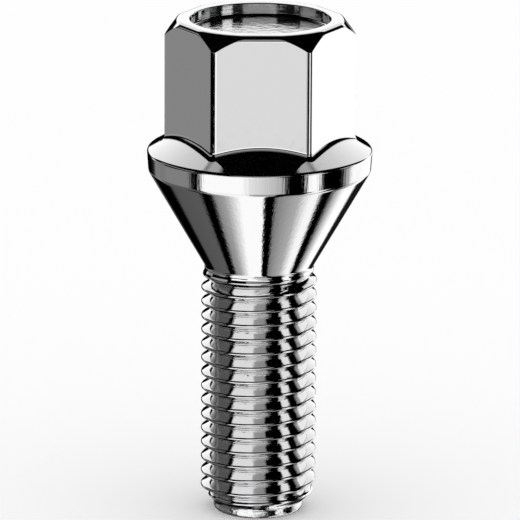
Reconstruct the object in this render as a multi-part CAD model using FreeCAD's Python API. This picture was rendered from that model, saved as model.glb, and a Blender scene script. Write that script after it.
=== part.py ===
import FreeCAD, Part
import math
import os
from FreeCAD import Vector

# A wheel bolt, forged and rolled from one bar: a hexagon head with a shallow recess in its top,
# a flange with a conical seat under it, a neck, and a shank for an M12 x 1.5 thread.
# Sizes are in millimetres and degrees. The bolt stands on its end: the origin is the middle of the
# end face, and +Z runs up the axis to the top of the head.

os.makedirs("parts", exist_ok=True)

# Driving dimensions: lengths along the axis
overall_length = 51.7
shank_length = 26.0             # from the end face to the small end of the seat
rim_height = 2.1
thread_pitch = 1.5              # the thread stops one pitch short of the seat
pilot_length = 0.95
recess_depth = 1.3

# Driving dimensions: across the axis
hex_flats = 17.0
head_face_diameter = 16.9       # where the chamfer would meet the top of the head
recess_diameter = 14.3
flange_diameter = 23.0
neck_diameter = 11.2
thread_diameter = 11.85         # over the crests of the M12 thread
pilot_diameter = 9.2

# Driving dimensions: angles
seat_angle = 60.0               # between the two sides of the seat
rim_draft = 4.0
flange_slope = 30.0             # of the flange's top, from level
head_chamfer = 33.0             # from the axis
end_chamfer = 45.0

# Driving dimensions: roundings and bevels
hex_edge_rounding = 0.75        # of the hexagon's corners and its top edges
head_face_rounding = 0.4        # between the chamfer and the top of the head
hex_foot_rounding = 0.4
seat_edge_rounding = 0.9
neck_rounding = 0.8
recess_mouth_bevel = 0.15
recess_floor_bevel = 0.25
rim_edge_bevel = 0.2
pilot_edge_bevel = 0.4

# Levels and radii that follow
flange_radius = flange_diameter / 2
neck_radius = neck_diameter / 2
thread_radius = thread_diameter / 2
pilot_radius = pilot_diameter / 2
hex_apothem = hex_flats / 2
seat_slope = math.tan(math.radians(seat_angle / 2))
seat_radius = flange_radius - rim_height * math.tan(math.radians(rim_draft))
seat_top = shank_length + (seat_radius - neck_radius) / seat_slope
rim_top = seat_top + rim_height
thread_start = pilot_length + (thread_radius - pilot_radius) / math.tan(math.radians(end_chamfer))
thread_end = shank_length - thread_pitch


def flange_level(radius):
    """Height of the flange's sloping top at a radius."""
    return rim_top + (flange_radius - radius) * math.tan(math.radians(flange_slope))


def corner_edges(before, corner, after, kind, size):
    """Both ends of the arc or bevel that eases a corner, and its edge, or none at a sharp corner."""
    if kind == "sharp":
        return corner, corner, None
    back = (before - corner).normalize()
    ahead = (after - corner).normalize()
    if kind == "bevel":
        start, end = corner + back * size, corner + ahead * size
        return start, end, Part.makeLine(start, end)
    half = back.getAngle(ahead) / 2
    reach = size / math.tan(half)
    start, end = corner + back * reach, corner + ahead * reach
    middle = corner + (back + ahead).normalize() * (size / math.sin(half) - size)
    return start, end, Part.Arc(start, middle, end).toShape()


def turned(outline):
    """Solid of revolution about Z, from (x, z, kind of corner, size of its easing) in order."""
    points = [Vector(x, 0, z) for x, z, kind, size in outline]
    count = len(points)
    eased = []
    for i, (x, z, kind, size) in enumerate(outline):
        eased.append(corner_edges(points[i - 1], points[i], points[(i + 1) % count], kind, size))
    edges = []
    for i, (start, end, easing) in enumerate(eased):
        if easing:
            edges.append(easing)
        edges.append(Part.makeLine(end, eased[(i + 1) % count][0]))
    face = Part.Face(Part.Wire(edges))
    return face.revolve(Vector(0, 0, 0), Vector(0, 0, 1), 360)


def shank_and_flange():
    """Everything below the hexagon: end, thread blank, neck, conical seat, rim and sloping top."""
    root = hex_apothem / 2
    return turned([
        (0, 0, "sharp", 0),
        (pilot_radius, 0, "bevel", pilot_edge_bevel),
        (pilot_radius, pilot_length, "sharp", 0),
        (thread_radius, thread_start, "sharp", 0),
        (thread_radius, thread_end - (thread_radius - neck_radius), "sharp", 0),
        (neck_radius, thread_end, "sharp", 0),
        (neck_radius, shank_length, "round", neck_rounding),
        (seat_radius, seat_top, "round", seat_edge_rounding),
        (flange_radius, rim_top, "bevel", rim_edge_bevel),
        (root, flange_level(root), "sharp", 0),
        (0, flange_level(root), "sharp", 0),
    ])


def hexagon():
    """Hexagon with rounded edges, a flat towards -Y, and the corners of its top turned to a chamfer."""
    corner = hex_apothem / math.cos(math.pi / 6)
    ring = [Vector(corner * math.cos(i * math.pi / 3), corner * math.sin(i * math.pi / 3), rim_top)
            for i in range(7)]
    prism = Part.Face(Part.makePolygon(ring)).extrude(Vector(0, 0, overall_length - rim_top))
    rounded = [e for e in prism.Edges if e.BoundBox.ZMax > overall_length - hex_edge_rounding]
    prism = prism.makeFillet(hex_edge_rounding, rounded)

    face_radius = head_face_diameter / 2
    outside = corner * 1.2
    chamfer_foot = overall_length - (outside - face_radius) / math.tan(math.radians(head_chamfer))
    envelope = turned([
        (0, rim_top - rim_height, "sharp", 0),
        (outside, rim_top - rim_height, "sharp", 0),
        (outside, chamfer_foot, "sharp", 0),
        (face_radius, overall_length, "round", head_face_rounding),
        (0, overall_length, "sharp", 0),
    ])
    return prism.common(envelope)


def recess():
    """Shallow round hollow in the top of the head, with bevels at its mouth and at its floor."""
    radius = recess_diameter / 2
    outside = radius + recess_depth
    above = overall_length + recess_depth
    return turned([
        (0, overall_length - recess_depth, "sharp", 0),
        (radius, overall_length - recess_depth, "bevel", recess_floor_bevel),
        (radius, overall_length, "bevel", recess_mouth_bevel),
        (outside, overall_length, "sharp", 0),
        (outside, above, "sharp", 0),
        (0, above, "sharp", 0),
    ])


def hex_foot(shape):
    """Edges where the hexagon meets the flange's sloping top."""
    lowest = flange_level(hex_apothem / math.cos(math.pi / 6))
    highest = flange_level(hex_apothem)
    slack = hex_foot_rounding / 8
    found = []
    for edge in shape.Edges:
        box = edge.BoundBox
        if box.ZMin > lowest - slack and box.ZMax < highest + slack and edge.Length > slack:
            found.append(edge)
    return found


bolt = shank_and_flange().fuse(hexagon())
bolt = bolt.makeFillet(hex_foot_rounding, hex_foot(bolt))
bolt = bolt.cut(recess())
bolt = bolt.removeSplitter()
bolt.exportStep("parts/wheel_bolt.step")
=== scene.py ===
import math
import bpy
import bmesh
from mathutils import Matrix, Vector, noise


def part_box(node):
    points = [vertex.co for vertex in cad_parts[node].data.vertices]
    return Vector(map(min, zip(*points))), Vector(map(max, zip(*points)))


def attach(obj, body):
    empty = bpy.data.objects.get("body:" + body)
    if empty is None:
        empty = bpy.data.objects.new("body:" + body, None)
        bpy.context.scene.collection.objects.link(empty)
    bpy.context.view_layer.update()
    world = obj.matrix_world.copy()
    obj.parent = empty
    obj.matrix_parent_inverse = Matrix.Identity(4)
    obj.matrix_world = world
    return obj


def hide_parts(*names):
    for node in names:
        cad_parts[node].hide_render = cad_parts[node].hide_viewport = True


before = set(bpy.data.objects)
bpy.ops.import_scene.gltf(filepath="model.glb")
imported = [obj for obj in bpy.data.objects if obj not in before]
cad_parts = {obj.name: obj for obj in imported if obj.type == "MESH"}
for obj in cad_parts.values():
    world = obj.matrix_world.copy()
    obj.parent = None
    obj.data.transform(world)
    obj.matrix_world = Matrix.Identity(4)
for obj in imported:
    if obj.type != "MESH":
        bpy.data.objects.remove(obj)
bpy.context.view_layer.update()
boltLow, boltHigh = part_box("wheel_bolt")
print("frame loaded")

# Lengths of the bolt are in millimetres here, and the finished mesh is scaled to metres.
millimetre = 0.001
boltLength = (boltHigh[2] - boltLow[2]) / millimetre
hexSides = 6
sector = math.tau / hexSides     # the angle that one side of the hexagon takes
halfSector = sector / 2

bolt = {
    "shankLength": 26.0,         # end face to the small end of the seat
    "neckRadius": 5.6,
    "neckRounding": 0.8,
    "seatHalfAngle": 30.0,
    "seatEdgeRounding": 0.9,
    "rimRadius": 11.495,
    "rimHeight": 2.1,
    "rimDraft": 4.0,
    "rimEdgeRounding": 0.36,
    "flangeSlope": 30.0,
    "hexApothem": 8.5,
    "hexEdgeRounding": 0.75,     # of the hexagon's upright corners
    "topEdgeRounding": 0.6,      # of its top edges
    "hexFootRounding": 0.9,
    "chamferFromAxis": 36.0,
    "headFaceRadius": 8.45,      # where the chamfer would meet the top
    "headFaceRounding": 0.4,
    "recessRadius": 7.15,
    "recessDepth": 1.3,
    "recessMouthRounding": 0.15,
    "recessFloorRounding": 0.3,
}

thread = {
    "pitch": 1.5,
    "flankAngle": 30.0,
    "crestRadius": 5.925,
    "crestRounding": 0.19,
    "rootRounding": 0.09,
    "phase": 0.31,               # height of a crest on the +X side
    "fadeStart": 24.3,           # full thread below this level
    "fadeEnd": 25.69,            # plain neck above this one
    "unevenness": 0.035,         # the crests wander this much up and down
    "wander": 1.3,               # over about this length
    "unevenDepth": 0.5,          # and the wander ends this far below them
}

tip = {
    "pilotRadius": 4.6,
    "pilotTop": 0.95,
    "chamferAngle": 45.0,
    "endRounding": 0.45,
    "faceRings": (0.97, 0.6, 0.3),     # rings of the mesh in the end face, as shares of its radius
}

# How finely the mesh is divided, and where its parts join.
meshing = {
    "cornerColumns": 14,         # round one corner of the hexagon
    "flatColumns": 17,           # along half a flat
    "cornerMargin": 1.04,        # where the flat's columns start, in half angles of the corner
    "threadColumns": 144,        # round the whole shank
    "threadRepeats": 4,          # the shank is spun through this share of a turn and repeated
    "neckArc": 6,
    "seat": 8,
    "seatArc": 8,
    "rim": 2,
    "rimArc": 6,
    "flange": 3,
    "footArc": 7,
    "hexSide": 4,
    "chamfer": 20,
    "mouth": 1,
    "mouthArc": 5,
    "recessWall": 2,
    "recessArc": 6,
    "recessFloor": 5,
    "rootArc": 5,
    "flank": 2,
    "crestArc": 8,
    "endArc": 7,
    "runMargin": 0.04,           # from the end of a straight run to its first point
    "chamferMargin": 0.03,       # from the foot of the chamfer to its first point
    "cutLevel": 0.62,            # where the thread's mesh meets the end's
    "joinLevel": 25.77,          # where the head's mesh starts
    "joinGap": 0.08,             # height of the strip between the thread's mesh and the head's
    "weld": 0.0005,              # points closer than this become one
    "near": 0.001,               # a point this close to the axis or to a level counts as on it
    "cut": 0.00001,              # the same for a cut
}


def towards(start, end, distance):
    return start + (end - start).normalized() * distance


def straight(start, end, steps):
    # points inside a straight run, with one close to each end so that the shading stays on its side
    inner = [towards(start, end, meshing["runMargin"]), towards(end, start, meshing["runMargin"])]
    middle = [inner[0].lerp(inner[1], i / steps) for i in range(1, steps)]
    return [inner[0]] + middle + [inner[1]]


def arc(before, corner, after, radius, steps):
    # a tangent arc that rounds a corner
    back = (before - corner).normalized()
    ahead = (after - corner).normalized()
    half = back.angle(ahead) / 2
    centre = corner + (back + ahead).normalized() * (radius / math.sin(half))
    start = corner + back * (radius / math.tan(half)) - centre
    end = corner + ahead * (radius / math.tan(half)) - centre
    turn = start.angle_signed(end)
    points = []
    for i in range(steps + 1):
        spoke = start.copy()
        spoke.rotate(Matrix.Rotation(-turn * i / steps, 2))
        points.append(centre + spoke)
    return points


def flangeLevel(radius):
    # height of the flange's sloping top at a radius
    seatRadius = bolt["rimRadius"] - bolt["rimHeight"] * math.tan(math.radians(bolt["rimDraft"]))
    seatHeight = (seatRadius - bolt["neckRadius"]) / math.tan(math.radians(bolt["seatHalfAngle"]))
    rimTop = bolt["shankLength"] + seatHeight + bolt["rimHeight"]
    return rimTop + (bolt["rimRadius"] - radius) * math.tan(math.radians(bolt["flangeSlope"]))


def cornerAngle():
    # half the angle that a rounded corner of the hexagon takes, seen from the axis
    tangent = (bolt["hexApothem"] - bolt["hexEdgeRounding"]) * math.tan(halfSector)
    return halfSector - math.atan(tangent / bolt["hexApothem"])


def sectorAngles():
    # one sixth of the head, from the middle of a flat round a corner to the middle of the next,
    # with the columns close together round the corner
    corner = cornerAngle()
    first = corner * meshing["cornerMargin"]
    count = meshing["flatColumns"]
    flat = [first + (halfSector - first) * i / count for i in range(count + 1)]
    count = meshing["cornerColumns"]
    bend = [corner * (2 * i / count - 1) for i in range(count + 1)]
    return [-angle for angle in reversed(flat)] + bend + flat


def hexRadius(angle):
    # distance from the axis to the hexagon's side, with its rounded corners
    fromCorner = (angle + halfSector) % sector - halfSector
    if abs(fromCorner) >= cornerAngle():
        return bolt["hexApothem"] / math.cos(halfSector - abs(fromCorner))
    rounding = bolt["hexEdgeRounding"]
    centre = (bolt["hexApothem"] - rounding) / math.cos(halfSector)
    across = centre * math.sin(fromCorner)
    return centre * math.cos(fromCorner) + math.sqrt(rounding ** 2 - across ** 2)


def headRadius(side, level):
    # the smaller of the hexagon's rounded top edge and the turned chamfer
    rounding = bolt["topEdgeRounding"]
    above = level - (boltLength - rounding)
    wall = side if above <= 0 else side - rounding + math.sqrt(max(rounding ** 2 - above ** 2, 0))
    lean = math.radians(bolt["chamferFromAxis"])
    chamfer = bolt["headFaceRadius"] + (boltLength - level) * math.tan(lean)
    rounding = bolt["headFaceRounding"]
    reach = rounding * math.tan((math.pi / 2 - lean) / 2)
    above = level - (boltLength - rounding)
    if above > rounding * math.sin(lean):
        middle = bolt["headFaceRadius"] - reach
        chamfer = middle + math.sqrt(max(rounding ** 2 - above ** 2, 0))
    return min(wall, chamfer)


def headSection(angle):
    # half section of the head, flange and neck at an angle, from the neck up and in to the axis
    draft = bolt["rimHeight"] * math.tan(math.radians(bolt["rimDraft"]))
    rimTop = flangeLevel(bolt["rimRadius"])
    neckFoot = Vector((bolt["neckRadius"], meshing["joinLevel"]))
    seatFoot = Vector((bolt["neckRadius"], bolt["shankLength"]))
    seatTop = Vector((bolt["rimRadius"] - draft, rimTop - bolt["rimHeight"]))
    rimEdge = Vector((bolt["rimRadius"], rimTop))
    side = hexRadius(angle)
    hexFoot = Vector((side, flangeLevel(side)))
    lean = math.tan(math.radians(bolt["chamferFromAxis"]))
    roundingFoot = boltLength - bolt["topEdgeRounding"]
    crease = min(roundingFoot, boltLength - (side - bolt["headFaceRadius"]) / lean)
    shoulder = Vector((side, crease))

    neckArc = arc(neckFoot, seatFoot, seatTop, bolt["neckRounding"], meshing["neckArc"])
    seatArc = arc(seatFoot, seatTop, rimEdge, bolt["seatEdgeRounding"], meshing["seatArc"])
    rimArc = arc(seatTop, rimEdge, hexFoot, bolt["rimEdgeRounding"], meshing["rimArc"])
    footArc = arc(rimEdge, hexFoot, shoulder, bolt["hexFootRounding"], meshing["footArc"])
    points = [neckFoot] + neckArc
    points += straight(neckArc[-1], seatArc[0], meshing["seat"]) + seatArc
    points += straight(seatArc[-1], rimArc[0], meshing["rim"]) + rimArc
    points += straight(rimArc[-1], footArc[0], meshing["flange"]) + footArc
    points += straight(footArc[-1], shoulder, meshing["hexSide"])

    drop = boltLength - crease
    count = meshing["chamfer"]
    levels = [crease, crease + meshing["chamferMargin"]]
    levels += [boltLength - drop * (1 - i / count) ** 2 for i in range(2, count + 1)]
    points += [Vector((headRadius(side, level), level)) for level in levels]

    floorLevel = boltLength - bolt["recessDepth"]
    mouth = Vector((bolt["recessRadius"], boltLength))
    floorCorner = Vector((bolt["recessRadius"], floorLevel))
    floorCentre = Vector((0, floorLevel))
    mouthArc = arc(points[-1], mouth, floorCorner, bolt["recessMouthRounding"], meshing["mouthArc"])
    floorArc = arc(mouth, floorCorner, floorCentre, bolt["recessFloorRounding"], meshing["recessArc"])
    points += straight(points[-1], mouthArc[0], meshing["mouth"]) + mouthArc
    points += straight(mouthArc[-1], floorArc[0], meshing["recessWall"]) + floorArc
    points += straight(floorArc[-1], floorCentre, meshing["recessFloor"]) + [floorCentre]
    return points


def addChain(bm, points, rowLayer):
    # a string of points in the XZ plane, each marked with its row
    verts = []
    for row, point in enumerate(points):
        vert = bm.verts.new((point.x, 0, point.y))
        vert[rowLayer] = row
        verts.append(vert)
    edges = [bm.edges.new(pair) for pair in zip(verts, verts[1:])]
    return verts + edges


def repeatTurned(bm, geom, count, climb):
    # copies of the geometry, each turned one step further about the axis and lifted its share
    for i in range(1, count):
        copied = bmesh.ops.duplicate(bm, geom=geom)["geom"]
        verts = [g for g in copied if isinstance(g, bmesh.types.BMVert)]
        turn = Matrix.Rotation(math.tau * i / count, 3, "Z")
        bmesh.ops.rotate(bm, verts=verts, cent=(0, 0, 0), matrix=turn)
        bmesh.ops.translate(bm, verts=verts, vec=(0, 0, climb * i / count))


def addHead(bm):
    # spin one half section through a sixth of a turn, give each column the section of its own
    # angle, and repeat the sixth all round
    rowLayer = bm.verts.layers.int["row"]
    angles = sectorAngles()
    sections = [headSection(angle) for angle in angles]
    before = set(bm.verts)
    chain = addChain(bm, sections[0], rowLayer)
    steps = len(angles) - 1
    bmesh.ops.spin(bm, geom=chain, cent=(0, 0, 0), axis=(0, 0, 1), angle=sector, steps=steps)
    sixth = [v for v in bm.verts if v not in before]
    for vert in sixth:
        if math.hypot(vert.co.x, vert.co.y) < meshing["near"]:
            continue
        column = round(math.atan2(vert.co.y, vert.co.x) / sector * steps)
        point = sections[column][vert[rowLayer]]
        angle = angles[column]
        vert.co = (point.x * math.cos(angle), point.x * math.sin(angle), point.y)
    edges = [e for e in bm.edges if e.verts[0] not in before]
    faces = [f for f in bm.faces if f.verts[0] not in before]
    repeatTurned(bm, sixth + edges + faces, hexSides, 0)
    fresh = [v for v in bm.verts if v not in before]
    bmesh.ops.remove_doubles(bm, verts=fresh, dist=meshing["weld"])


def threadSection():
    # one pitch of the thread's profile as (radius, height): the root, a flank, the crest, a flank
    half = thread["pitch"] / 2
    sharpCrest = thread["crestRadius"] + thread["crestRounding"]
    sharpRoot = sharpCrest - half / math.tan(math.radians(thread["flankAngle"]))
    lowCrest = Vector((sharpCrest, -2 * half))
    root = Vector((sharpRoot, -half))
    crest = Vector((sharpCrest, 0))
    nextRoot = Vector((sharpRoot, half))
    nextCrest = Vector((sharpCrest, 2 * half))
    rootArc = arc(lowCrest, root, crest, thread["rootRounding"], meshing["rootArc"])
    crestArc = arc(root, crest, nextRoot, thread["crestRounding"], meshing["crestArc"])
    nextArc = arc(crest, nextRoot, nextCrest, thread["rootRounding"], meshing["rootArc"])
    lower = straight(rootArc[-1], crestArc[0], meshing["flank"])
    upper = straight(crestArc[-1], nextArc[0], meshing["flank"])
    return rootArc + lower + crestArc + upper


def tipRadius(level):
    # the pilot and the chamfer that the thread starts on
    rise = max(level - tip["pilotTop"], 0)
    return tip["pilotRadius"] + rise * math.tan(math.radians(tip["chamferAngle"]))


def smoothStep(value):
    value = min(max(value, 0), 1)
    return value * value * (3 - 2 * value)


def threadedRadius(radius, level):
    # the thread fades into the neck above, and the end's chamfer cuts it below
    fade = smoothStep((thread["fadeEnd"] - level) / (thread["fadeEnd"] - thread["fadeStart"]))
    faded = bolt["neckRadius"] + (radius - bolt["neckRadius"]) * fade
    return min(faded, tipRadius(level))


def unevenLevel(point, radius):
    # a rolled crest is never quite even; the root stays true
    share = (radius - thread["crestRadius"] + thread["unevenDepth"]) / thread["unevenDepth"]
    return thread["unevenness"] * smoothStep(share) * noise.noise(point / thread["wander"])


def openRing(bm, level):
    # edges of the open border at a level
    found = []
    for edge in bm.edges:
        if edge.is_boundary and all(abs(v.co.z - level) < meshing["near"] for v in edge.verts):
            found.append(edge)
    return found


def extrudeRing(bm, ring, radius, level):
    # a band of faces from an open ring to a ring of another radius and level
    made = bmesh.ops.extrude_edge_only(bm, edges=ring)["geom"]
    for vert in [g for g in made if isinstance(g, bmesh.types.BMVert)]:
        flat = Vector((vert.co.x, vert.co.y))
        flat = flat.normalized() * radius if radius else Vector((0, 0))
        vert.co = (flat.x, flat.y, level)
    return [g for g in made if isinstance(g, bmesh.types.BMEdge)]


def addShank(bm):
    # a chain of thread profiles, turned once about the axis while it climbs one pitch; it starts
    # and ends a little too far out and is cut to length
    rowLayer = bm.verts.layers.int["row"]
    pitch = thread["pitch"]
    shankTop = meshing["joinLevel"] - meshing["joinGap"]
    lowest = math.floor((meshing["cutLevel"] - thread["phase"]) / pitch) - 2
    highest = math.ceil((meshing["joinLevel"] - thread["phase"]) / pitch) + 1
    section = threadSection()
    points = []
    for turn in range(lowest, highest + 1):
        middle = thread["phase"] + turn * pitch
        points += [Vector((point.x, middle + point.y)) for point in section]
    chain = addChain(bm, points, rowLayer)
    columns = meshing["threadColumns"]
    repeats = meshing["threadRepeats"]
    bmesh.ops.spin(bm, geom=chain, cent=(0, 0, 0), axis=(0, 0, 1), dvec=(0, 0, pitch / columns),
                   angle=math.tau / repeats, steps=columns // repeats)
    repeatTurned(bm, bm.verts[:] + bm.edges[:] + bm.faces[:], repeats, pitch)
    bmesh.ops.remove_doubles(bm, verts=bm.verts[:], dist=meshing["weld"])
    for vert in bm.verts:
        flat = Vector((vert.co.x, vert.co.y))
        level = vert.co.z + unevenLevel(vert.co, flat.length)
        flat = flat.normalized() * threadedRadius(flat.length, vert.co.z)
        vert.co = (flat.x, flat.y, level)
    for level, side in ((meshing["cutLevel"], "clear_inner"), (shankTop, "clear_outer")):
        everything = bm.verts[:] + bm.edges[:] + bm.faces[:]
        bmesh.ops.bisect_plane(bm, geom=everything, dist=meshing["cut"], plane_co=(0, 0, level),
                               plane_no=(0, 0, 1), **{side: True})


def addEnd(bm):
    # the pilot's wall, its rounded edge and the flat end face
    ring = openRing(bm, meshing["cutLevel"])
    wall = Vector((tip["pilotRadius"], meshing["cutLevel"]))
    corner = Vector((tip["pilotRadius"], 0))
    for point in arc(wall, corner, Vector((0, 0)), tip["endRounding"], meshing["endArc"]):
        ring = extrudeRing(bm, ring, point.x, point.y)
    for share in tip["faceRings"]:
        ring = extrudeRing(bm, ring, (tip["pilotRadius"] - tip["endRounding"]) * share, 0)
    extrudeRing(bm, ring, 0, 0)
    middle = [v for v in bm.verts if v.co.length < meshing["near"]]
    bmesh.ops.remove_doubles(bm, verts=middle, dist=meshing["weld"])


def makeBolt():
    bm = bmesh.new()
    bm.verts.layers.int.new("row")
    addShank(bm)
    addEnd(bm)
    addHead(bm)
    shankTop = meshing["joinLevel"] - meshing["joinGap"]
    joinRings = openRing(bm, shankTop) + openRing(bm, meshing["joinLevel"])
    bmesh.ops.bridge_loops(bm, edges=joinRings)
    bmesh.ops.scale(bm, verts=bm.verts[:], vec=(millimetre, millimetre, millimetre))
    bmesh.ops.recalc_face_normals(bm, faces=bm.faces[:])
    for face in bm.faces:
        face.smooth = True
    openEdges = [e for e in bm.edges if not e.is_manifold]
    print("bolt mesh:", len(bm.faces), "faces,", len(openEdges), "open edges,",
          sum(len(f.verts) - 2 for f in bm.faces), "triangles")
    mesh = bpy.data.meshes.new("plated_bolt")
    bm.to_mesh(mesh)
    bm.free()
    piece = bpy.data.objects.new("plated_bolt", mesh)
    bpy.context.scene.collection.objects.link(piece)
    return piece


# A grain's scale is in lumps per metre along each axis. Depths, levels and blends are in millimetres.
chrome = {
    "colour": (0.8, 0.8, 0.805, 1),
    "grains": {
        "peel": {"scale": (3600, 3600, 1500), "detail": 2.5, "lean": 32},
        "waves": {"scale": (1500, 1500, 380), "detail": 2, "lean": 0},
        "marks": {"scale": (58, 260, 1), "detail": 3, "lean": 0},     # per radian round the bolt, and up
        "nicks": {"scale": (1300, 1300, 2100), "detail": 2, "lean": 0},
        "forged": {"scale": (1150, 1150, 1150), "detail": 4, "lean": 0},
    },
    "grainRoughness": 0.55,
    "zones": [
        {"grain": "peel", "depth": 0.0055, "low": 26.2, "high": 36.0, "blend": 0.4},    # the seat
        {"grain": "marks", "depth": 0.01, "low": 36.0, "high": 38.1, "blend": 0.1},     # the rim
        {"grain": "waves", "depth": 0.006, "low": 38.5, "high": 51.2, "blend": 0.4},    # the hexagon
        {"grain": "nicks", "depth": 0.008, "low": 1.5, "high": 25.5, "blend": 0.6},     # the thread
        {"grain": "forged", "depth": 0.08, "low": -1.0, "high": 1.3, "blend": 0.4},     # the end
    ],
    "forgedDepth": 0.08,         # of the recess's floor
    "forgedBelow": 0.3,          # the zone starts this far below that floor
    "forgedAbove": 0.1,          # and ends this far above it
    "forgedBlend": 0.1,
    "forgedInset": 0.2,          # from the recess's wall
    "forgedRoughness": 0.08,     # the floor is this much rougher
    "hazeGrain": (0.35, 0.7),    # values of the forged grain
    "roughness": (0.012, 0.05),  # the roughness at both
}


def addNode(tree, kind, inputs=None, **settings):
    node = tree.nodes.new("ShaderNode" + kind)
    for name, value in settings.items():
        setattr(node, name, value)
    for name, value in (inputs or {}).items():
        node.inputs[name].default_value = value
    return node


def addMath(tree, operation, first, second=None):
    # a sum whose terms are numbers or the outputs of other nodes
    node = addNode(tree, "Math", operation=operation)
    for socket, term in zip(node.inputs, (first, second)):
        if isinstance(term, (int, float)):
            socket.default_value = term
        elif term is not None:
            tree.links.new(term, socket)
    return node.outputs[0]


def zone(tree, height, low, high, blend):
    # 1 between two levels in millimetres and 0 outside them, from a height in metres
    low, high, blend = [value * millimetre for value in (low, high, blend)]
    rise = addNode(tree, "MapRange", inputs={"From Min": low - blend, "From Max": low + blend})
    fall = addNode(tree, "MapRange", inputs={"From Min": high + blend, "From Max": high - blend})
    tree.links.new(height, rise.inputs["Value"])
    tree.links.new(height, fall.inputs["Value"])
    return addMath(tree, "MULTIPLY", rise.outputs["Result"], fall.outputs["Result"])


def grain(tree, place, scale, detail, lean):
    # noise that is stretched by a scale for each axis and leans by an angle
    turn = (0, math.radians(lean), 0)
    mapping = addNode(tree, "Mapping", inputs={"Scale": scale, "Rotation": turn})
    tree.links.new(place, mapping.inputs["Vector"])
    look = {"Scale": 1.0, "Detail": detail, "Roughness": chrome["grainRoughness"]}
    texture = addNode(tree, "TexNoise", inputs=look)
    tree.links.new(mapping.outputs["Vector"], texture.inputs["Vector"])
    return texture.outputs["Fac"]


def forgedFloor(tree, height, across, along):
    # 1 on the recess's floor and 0 elsewhere
    radius = addMath(tree, "SQRT", addMath(tree, "ADD",
                     addMath(tree, "MULTIPLY", across, across),
                     addMath(tree, "MULTIPLY", along, along)))
    edge = (bolt["recessRadius"] - chrome["forgedInset"]) * millimetre
    inside = addMath(tree, "LESS_THAN", radius, edge)
    level = boltLength - bolt["recessDepth"]
    band = zone(tree, height, level - chrome["forgedBelow"], level + chrome["forgedAbove"],
                chrome["forgedBlend"])
    return addMath(tree, "MULTIPLY", inside, band)


def makeChrome():
    material = bpy.data.materials.new("chromePlate")
    material.use_nodes = True
    tree = material.node_tree
    link = tree.links.new
    shader = tree.nodes["Principled BSDF"]
    shader.inputs["Base Color"].default_value = chrome["colour"]
    shader.inputs["Metallic"].default_value = 1

    place = addNode(tree, "TexCoord").outputs["Object"]
    split = addNode(tree, "SeparateXYZ")
    link(place, split.inputs["Vector"])
    height = split.outputs["Z"]
    around = addMath(tree, "ARCTAN2", split.outputs["Y"], split.outputs["X"])
    wrapped = addNode(tree, "CombineXYZ")           # round the bolt in radians, and its height
    link(around, wrapped.inputs["X"])
    link(height, wrapped.inputs["Y"])

    patterns = {}
    for name, look in chrome["grains"].items():
        source = wrapped.outputs["Vector"] if name == "marks" else place
        patterns[name] = grain(tree, source, look["scale"], look["detail"], look["lean"])
    onFloor = forgedFloor(tree, height, split.outputs["X"], split.outputs["Y"])
    relief = addMath(tree, "MULTIPLY", addMath(tree, "MULTIPLY", patterns["forged"], onFloor),
                     chrome["forgedDepth"] * millimetre)
    for area in chrome["zones"]:
        band = zone(tree, height, area["low"], area["high"], area["blend"])
        share = addMath(tree, "MULTIPLY", patterns[area["grain"]], band)
        share = addMath(tree, "MULTIPLY", share, area["depth"] * millimetre)
        relief = addMath(tree, "ADD", relief, share)
    bump = addNode(tree, "Bump", inputs={"Strength": 1.0, "Distance": 1.0})
    link(relief, bump.inputs["Height"])
    link(bump.outputs["Normal"], shader.inputs["Normal"])

    haze = addNode(tree, "MapRange", inputs={
        "From Min": chrome["hazeGrain"][0], "From Max": chrome["hazeGrain"][1],
        "To Min": chrome["roughness"][0], "To Max": chrome["roughness"][1]})
    link(patterns["forged"], haze.inputs["Value"])
    extra = addMath(tree, "MULTIPLY", onFloor, chrome["forgedRoughness"])
    rough = addMath(tree, "ADD", haze.outputs["Result"], extra)
    link(rough, shader.inputs["Roughness"])
    return material


floorLook = {
    "size": 8.0,
    "colour": (0.99, 0.99, 0.99, 1),
    "roughness": 0.9,
}


def makeFloor():
    bm = bmesh.new()
    bmesh.ops.create_grid(bm, x_segments=1, y_segments=1, size=floorLook["size"])
    mesh = bpy.data.meshes.new("studio_floor")
    bm.to_mesh(mesh)
    bm.free()
    floor = bpy.data.objects.new("studio_floor", mesh)
    bpy.context.scene.collection.objects.link(floor)
    material = bpy.data.materials.new("paleFloor")
    material.use_nodes = True
    shader = material.node_tree.nodes["Principled BSDF"]
    shader.inputs["Base Color"].default_value = floorLook["colour"]
    shader.inputs["Roughness"].default_value = floorLook["roughness"]
    shader.inputs["Specular IOR Level"].default_value = 0
    mesh.materials.append(material)
    floor.visible_glossy = False          # the plating shows the studio's cards instead
    return floor


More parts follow.
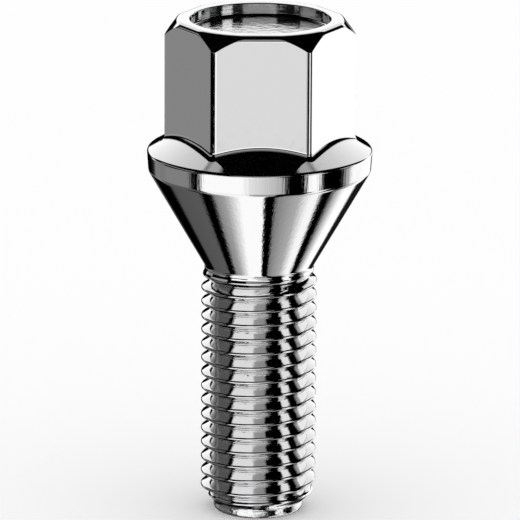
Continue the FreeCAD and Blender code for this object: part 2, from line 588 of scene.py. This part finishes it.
# The studio round the bolt, as only the plating sees it. Its cards were worked out from the greys of
# the reflections in the photo, so they are fitted to its view alone. It hangs in belts, one below the
# other. Each card has the bearings of its two ends, in degrees from the camera's side and to the
# right, and its brightness at both. A belt starts at its depth, in degrees below level, which can
# change with the bearing on either side, and ends where the next belt starts.
studio = {
    "above": [(-180, -29, 0.0, 0.0), (-26, 26, 0.35, 0.35), (29, 180, 0.0, 0.0)],
    "belts": [
        {"depth": [(0, -17)], "blend": 1.5, "cards": [
            (-180, -122, 0.0, 0.0), (-118, -72, 0.35, 0.35), (-69, -29, 0.0, 0.0),
            (-26, 26, 0.35, 0.35), (30, 45, 0.0, 0.0), (48, 62, 1.2, 1.2), (66, 90, 0.0, 0.0),
            (94, 112, 0.7, 0.7), (116, 180, 0.0, 0.0)]},
        {"depth": [(0, -6)], "blend": 1, "cards": [
            (-180, 104, 0.0, 0.0), (108, 145, 1.25, 1.25), (151, 180, 0.0, 0.0)]},
        {"depth": [(0, 3)], "blend": 1, "cards": [
            (-180, -144, 0.0, 0.0), (-141, -136, 0.8, 0.8), (-133, -116.5, 0.35, 0.35),
            (-114, -62, 0.0, 0.0), (-58, 19, 1.3, 1.3), (22, 49, 0.0, 0.0), (51, 66, 1.2, 1.2),
            (69, 95, 0.0, 0.0), (98, 104, 0.3, 0.3), (108, 163, 1.25, 1.25), (169, 180, 0.0, 0.0)]},
        # the hexagon's sides show this belt
        {"depth": [(0, 11.4)], "blend": 0.4, "cards": [
            (-180, -144, 0.0, 0.0), (-141, -136, 0.8, 0.8), (-133, -116.5, 0.284, 0.284),
            (-114, -27, 0.0, 0.0), (-24, -4.5, 1.2, 1.2), (-3, 4, 0.87, 0.87), (9, 26, 0.6, 0.1),
            (30, 51, 0.0, 0.0), (55, 68, 1.15, 1.15), (72, 95, 0.0, 0.0), (98, 104, 0.3, 0.3),
            (108, 163, 1.25, 1.25), (169, 180, 0.0, 0.0)]},
        # the thread's crests show this one
        {"depth": [(0, 14.2)], "blend": 0.3, "cards": [
            (-180, -142, 0.0, 0.0), (-139, -97, 0.13, 0.13), (-92, -72, 0.26, 0.26),
            (-69.5, -61, 0.0, 0.0), (-58, -10, 1.2, 1.2), (-5, 15, 0.57, 0.5), (18.5, 47, 0.0, 0.0),
            (50, 63, 1.2, 1.2), (66, 91, 0.0, 0.0), (96, 106, 0.2, 0.5), (111, 160, 1.2, 1.2),
            (166, 180, 0.0, 0.0)]},
        # and the rim this one
        {"depth": [(0, 19.5), (90, 18.5), (120, 17.5), (150, 15.8), (180, 14.5)], "blend": 0.4, "cards": [
            (-180, -142, 0.0, 0.0), (-139, -80, 0.26, 0.26), (-77, -67, 0.0, 0.0), (-64, -18, 1.2, 1.2),
            (-13, 24, 0.95, 0.5), (27, 49, 0.0, 0.0), (52, 64.5, 1.2, 1.2), (67.5, 96, 0.0, 0.0),
            (100, 107, 0.3, 0.6), (111, 158, 1.2, 1.2), (164, 180, 0.0, 0.0)]},
        {"depth": [(0, 30), (60, 27), (85, 22.5), (106, 21), (125, 18.5), (180, 16.5)], "blend": 1.5,
         "cards": [
            (-180, -130, 0.5, 0.3), (-125, -81, 0.125, 0.125), (-78, -71, 0.0, 0.0),
            (-66, -17, 1.1, 1.1), (-10, 16, 0.45, 0.35), (21, 58, 0.0, 0.0), (62, 77, 1.15, 1.15),
            (81, 104, 0.0, 0.0), (108, 126, 0.45, 0.95), (130, 180, 1.1, 1.1)]},
        # the seat shows this belt
        {"depth": [(0, 59), (60, 53), (80, 48), (106, 41), (122, 32), (134, 26), (147, 19.5), (180, 16.7)],
         "blend": 1.5, "cards": [
            (-180, -166, 0.25, 0.04), (-162, -140, 0.0, 0.0), (-135, -105, 0.1, 0.12),
            (-101, -89, 0.0, 0.0), (-84, -72, 0.3, 0.42), (-44, 7, 1.2, 1.2),
            (12, 33, 0.0, 0.0), (39, 76, 0.25, 0.5), (92, 101, 1.15, 1.15),
            (105, 115, 0.0, 0.0), (121, 130, 0.42, 1.05), (134, 145, 1.25, 1.25),
            (149, 173, 0.01, 0.01), (177, 180, 0.3, 0.4)]},
        {"depth": [(0, 77)], "blend": 1, "cards": [(-180, 180, 0.0, 0.0)]},
    ],
    # brightness by degrees above level: how the cards end at the black ceiling, and the back wall
    "ceilingFade": [(17, 1.0), (23, 0.6), (34, 0.3), (39, 0.0)],
    "backWall": [(6, 1.2), (28, 0.95), (45, 0.75), (56.5, 0.65), (58.5, 0.2), (60.5, 0.45),
                 (64, 0.42), (66, 0.0)],
    "backWallStart": 139,        # bearing on either side
    "backWallStartBlend": 3,
    "backWallFoot": 6,           # degrees above level
    "backWallFootBlend": 1,
    "plainLevel": 1.0,           # the white that the camera and the floor see
}


def fillRamp(tree, value, stops):
    # a ramp of greys from (place, brightness) pairs
    ramp = addNode(tree, "ValToRGB")
    elements = ramp.color_ramp.elements
    elements.remove(elements[-1])
    for i, (place, level) in enumerate(stops):
        element = elements[0] if i == 0 else elements.new(place)
        element.position = place
        element.color = (level, level, level, 1)
    tree.links.new(value, ramp.inputs["Fac"])
    return ramp.outputs["Color"]


def hangCards(tree, bearing, cards):
    # one belt's greys, from the left of the back all round to its right
    stops = []
    for start, end, levelStart, levelEnd in cards:
        stops += [((start + 180) / 360, levelStart), ((end + 180) / 360, levelEnd)]
    return fillRamp(tree, addMath(tree, "DIVIDE", addMath(tree, "ADD", bearing, 180), 360), stops)


def beltEdge(tree, aside, depths):
    # the depth at which a belt starts: a number, or a curve over the bearing on either side
    if len(depths) == 1:
        return depths[0][1]
    stops = [(side / 180, degrees / 90) for side, degrees in depths]
    return addMath(tree, "MULTIPLY", fillRamp(tree, addMath(tree, "DIVIDE", aside, 180), stops), 90)


def blendColours(tree, factor, first, second):
    mix = addNode(tree, "Mix", data_type="RGBA")
    tree.links.new(factor, mix.inputs["Factor"])
    tree.links.new(first, mix.inputs[6])
    tree.links.new(second, mix.inputs[7])
    return mix.outputs[2]


def pastEdge(tree, value, edge, blend):
    # 0 before an edge and 1 after it, over twice the blend
    step = addNode(tree, "MapRange", inputs={"From Min": -blend, "From Max": blend})
    tree.links.new(addMath(tree, "SUBTRACT", value, edge), step.inputs["Value"])
    return step.outputs["Result"]


def fillByHeight(tree, height, greys):
    # a ramp of greys by degrees above level
    stops = [(degrees / 90, level) for degrees, level in greys]
    return fillRamp(tree, addMath(tree, "DIVIDE", height, 90), stops)


def makeStudio():
    world = bpy.data.worlds.new("studio")
    bpy.context.scene.world = world
    world.use_nodes = True
    tree = world.node_tree
    tree.nodes.clear()
    link = tree.links.new
    direction = addNode(tree, "TexCoord").outputs["Generated"]
    split = addNode(tree, "SeparateXYZ")
    link(direction, split.inputs["Vector"])
    forwards = addMath(tree, "MULTIPLY", split.outputs["Y"], -1)
    bearing = addMath(tree, "DEGREES", addMath(tree, "ARCTAN2", split.outputs["X"], forwards))
    aside = addMath(tree, "ABSOLUTE", bearing)
    height = addMath(tree, "DEGREES", addMath(tree, "ARCSINE", split.outputs["Z"]))
    depth = addMath(tree, "MULTIPLY", height, -1)

    around = hangCards(tree, bearing, studio["above"])
    for belt in studio["belts"]:
        cards = hangCards(tree, bearing, belt["cards"])
        edge = beltEdge(tree, aside, belt["depth"])
        around = blendColours(tree, pastEdge(tree, depth, edge, belt["blend"]), around, cards)

    front = addNode(tree, "VectorMath", operation="MULTIPLY")
    link(around, front.inputs[0])
    link(fillByHeight(tree, height, studio["ceilingFade"]), front.inputs[1])
    wall = fillByHeight(tree, height, studio["backWall"])
    pastSide = pastEdge(tree, aside, studio["backWallStart"], studio["backWallStartBlend"])
    pastFoot = pastEdge(tree, height, studio["backWallFoot"], studio["backWallFootBlend"])
    behind = addMath(tree, "MULTIPLY", pastSide, pastFoot)
    seen = blendColours(tree, behind, front.outputs["Vector"], wall)

    # only the plating sees the cards: the camera and the floor see plain white
    cards = addNode(tree, "Background")
    link(seen, cards.inputs["Color"])
    plain = addNode(tree, "Background", inputs={"Color": (1, 1, 1, 1), "Strength": studio["plainLevel"]})
    path = addNode(tree, "LightPath")
    mix = addNode(tree, "MixShader")
    link(path.outputs["Is Glossy Ray"], mix.inputs["Fac"])
    link(plain.outputs[0], mix.inputs[1])
    link(cards.outputs[0], mix.inputs[2])
    output = addNode(tree, "OutputWorld")
    link(mix.outputs[0], output.inputs["Surface"])


# The camera was fitted to the edges in the photo. Its distance and aim are in metres.
view = {
    "bearing": -1.0,             # degrees to the right of straight ahead
    "height": 14.85,             # degrees above level
    "roll": 0.3,
    "distance": 0.6,
    "aim": (0.000083, 0.0, 0.02635),
    "lens": 406.05,
    "sensorWidth": 36,
    "clipEnd": 50,
}


def makeCamera():
    data = bpy.data.cameras.new("photoView")
    data.lens = view["lens"]
    data.sensor_width = view["sensorWidth"]
    data.clip_end = view["clipEnd"]
    camera = bpy.data.objects.new("photoView", data)
    bpy.context.scene.collection.objects.link(camera)
    bpy.context.scene.camera = camera
    turn = Matrix.Rotation(math.radians(view["bearing"]), 4, "Z")
    tilt = Matrix.Rotation(math.radians(90 - view["height"]), 4, "X")
    roll = Matrix.Rotation(math.radians(view["roll"]), 4, "Z")
    back = Matrix.Translation((0, 0, view["distance"]))
    camera.matrix_world = Matrix.Translation(view["aim"]) @ turn @ tilt @ roll @ back
    return camera


makeCamera()
print("camera placed")

makeFloor()
makeStudio()
print("studio lit")

platedBolt = makeBolt()
platedBolt.data.materials.append(makeChrome())
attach(platedBolt, "root")
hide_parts("wheel_bolt")
print("bolt plated")

bpy.context.scene.view_settings.view_transform = "Standard"
